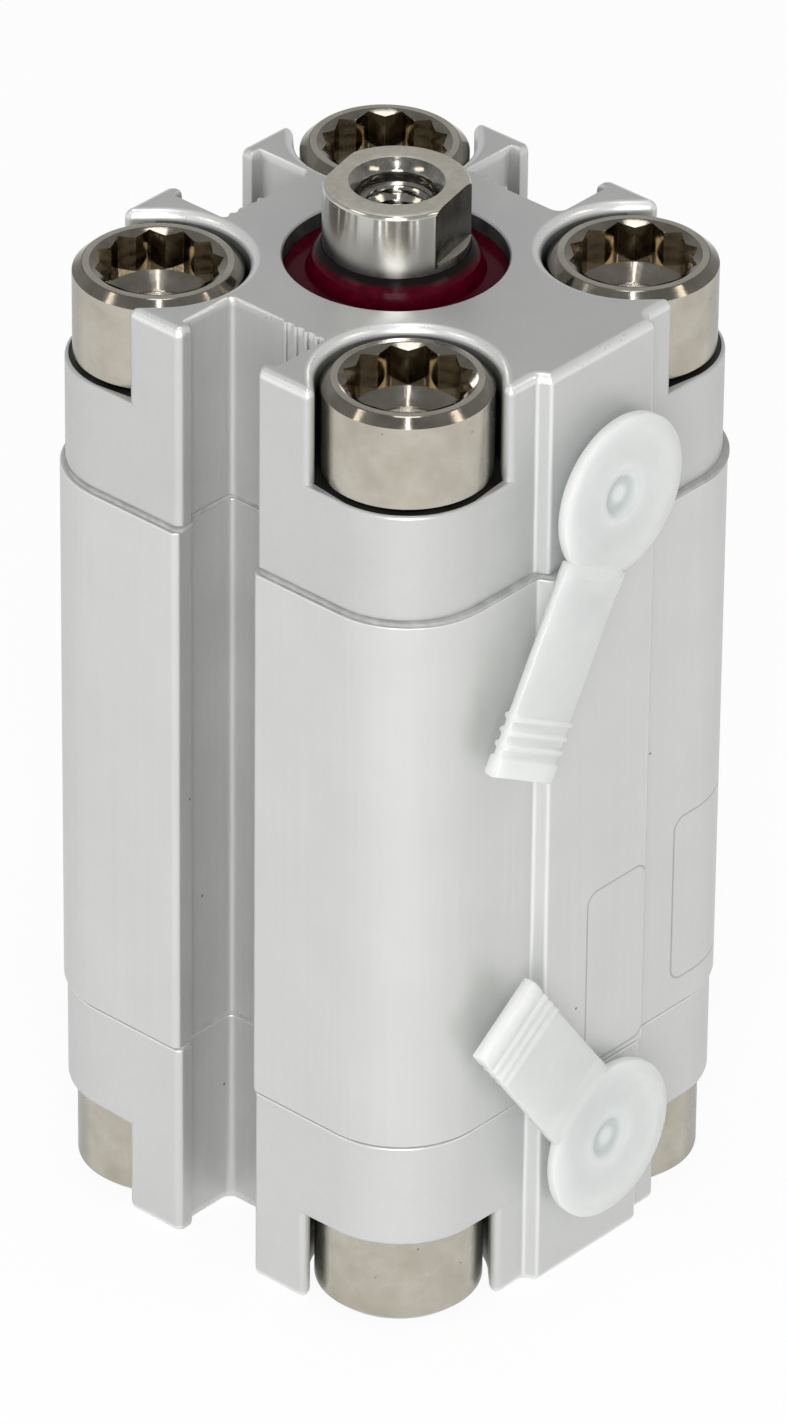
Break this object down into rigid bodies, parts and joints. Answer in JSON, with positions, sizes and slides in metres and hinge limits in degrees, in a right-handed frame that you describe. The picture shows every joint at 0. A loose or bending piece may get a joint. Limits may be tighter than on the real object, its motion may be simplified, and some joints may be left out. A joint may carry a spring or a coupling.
{
  "type": "compact pneumatic cylinder",
  "caption": "Compact pneumatic cylinder with a round-cornered slotted barrel, end caps with recessed socket screws, a rod with a female thread and plugged air ports.",
  "frame": {"origin": "centre of the end cap's rear face, on the rod's axis", "axes": "+Z along the rod, out of the bearing cap; -Y out of the port face; X across the barrel"},
  "size_m": [0.029, 0.0312, 0.0625],
  "materials": {
    "barrel_aluminium": "satin anodised extrusion",
    "cap_aluminium": "tumbled and anodised, satin",
    "gasket_rubber": "matt grey",
    "bush_brass": "turned bearing metal",
    "seal_polyurethane": "smooth, slightly glossy",
    "buffer_rubber": "matt",
    "screw_steel": "nickel plated, cold formed",
    "rod_steel": "ground and polished",
    "piston_aluminium": "machined",
    "magnet": "sintered",
    "guide_plastic": "smooth",
    "plug_plastic": "soft, slightly translucent, smooth"
  },
  "bodies": {
    "housing": {"barrel": "barrel_aluminium", "bearing_cap": "cap_aluminium", "end_cap": "cap_aluminium", "bearing_cap_gasket": "gasket_rubber", "end_cap_gasket": "gasket_rubber", "rod_bush": "bush_brass", "rod_seal": "seal_polyurethane", "front_buffer": "buffer_rubber", "rear_buffer": "buffer_rubber", "front_cap_screws": "screw_steel", "rear_cap_screws": "screw_steel"},
    "piston_seals": {"front_piston_seal": "seal_polyurethane", "rear_piston_seal": "seal_polyurethane", "guide_ring": "guide_plastic"},
    "rod": {"piston_rod": "rod_steel", "piston_front_half": "piston_aluminium", "piston_rear_half": "piston_aluminium", "magnet_ring": "magnet", "piston_screw": "screw_steel", "rod_shoulder_ring": "gasket_rubber"},
    "front_plug": {"front_port_plug": "plug_plastic"},
    "rear_plug": {"rear_port_plug": "plug_plastic"}
  },
  "joints": [
    {"name": "rod_stroke", "type": "slide", "parent": "housing", "child": "piston_seals", "axis": [0, 0, 1], "range_m": [0, 0.02]},
    {"name": "rod_turn", "type": "hinge", "parent": "piston_seals", "child": "rod", "pos_m": [0, 0, 0.03], "axis": [0, 0, 1], "continuous": true},
    {"name": "front_plug_pull", "type": "slide", "parent": "housing", "child": "front_plug", "axis": [0, -1, 0], "range_m": [0, 0.006]},
    {"name": "rear_plug_pull", "type": "slide", "parent": "housing", "child": "rear_plug", "axis": [0, -1, 0], "range_m": [0, 0.006]}
  ]
}
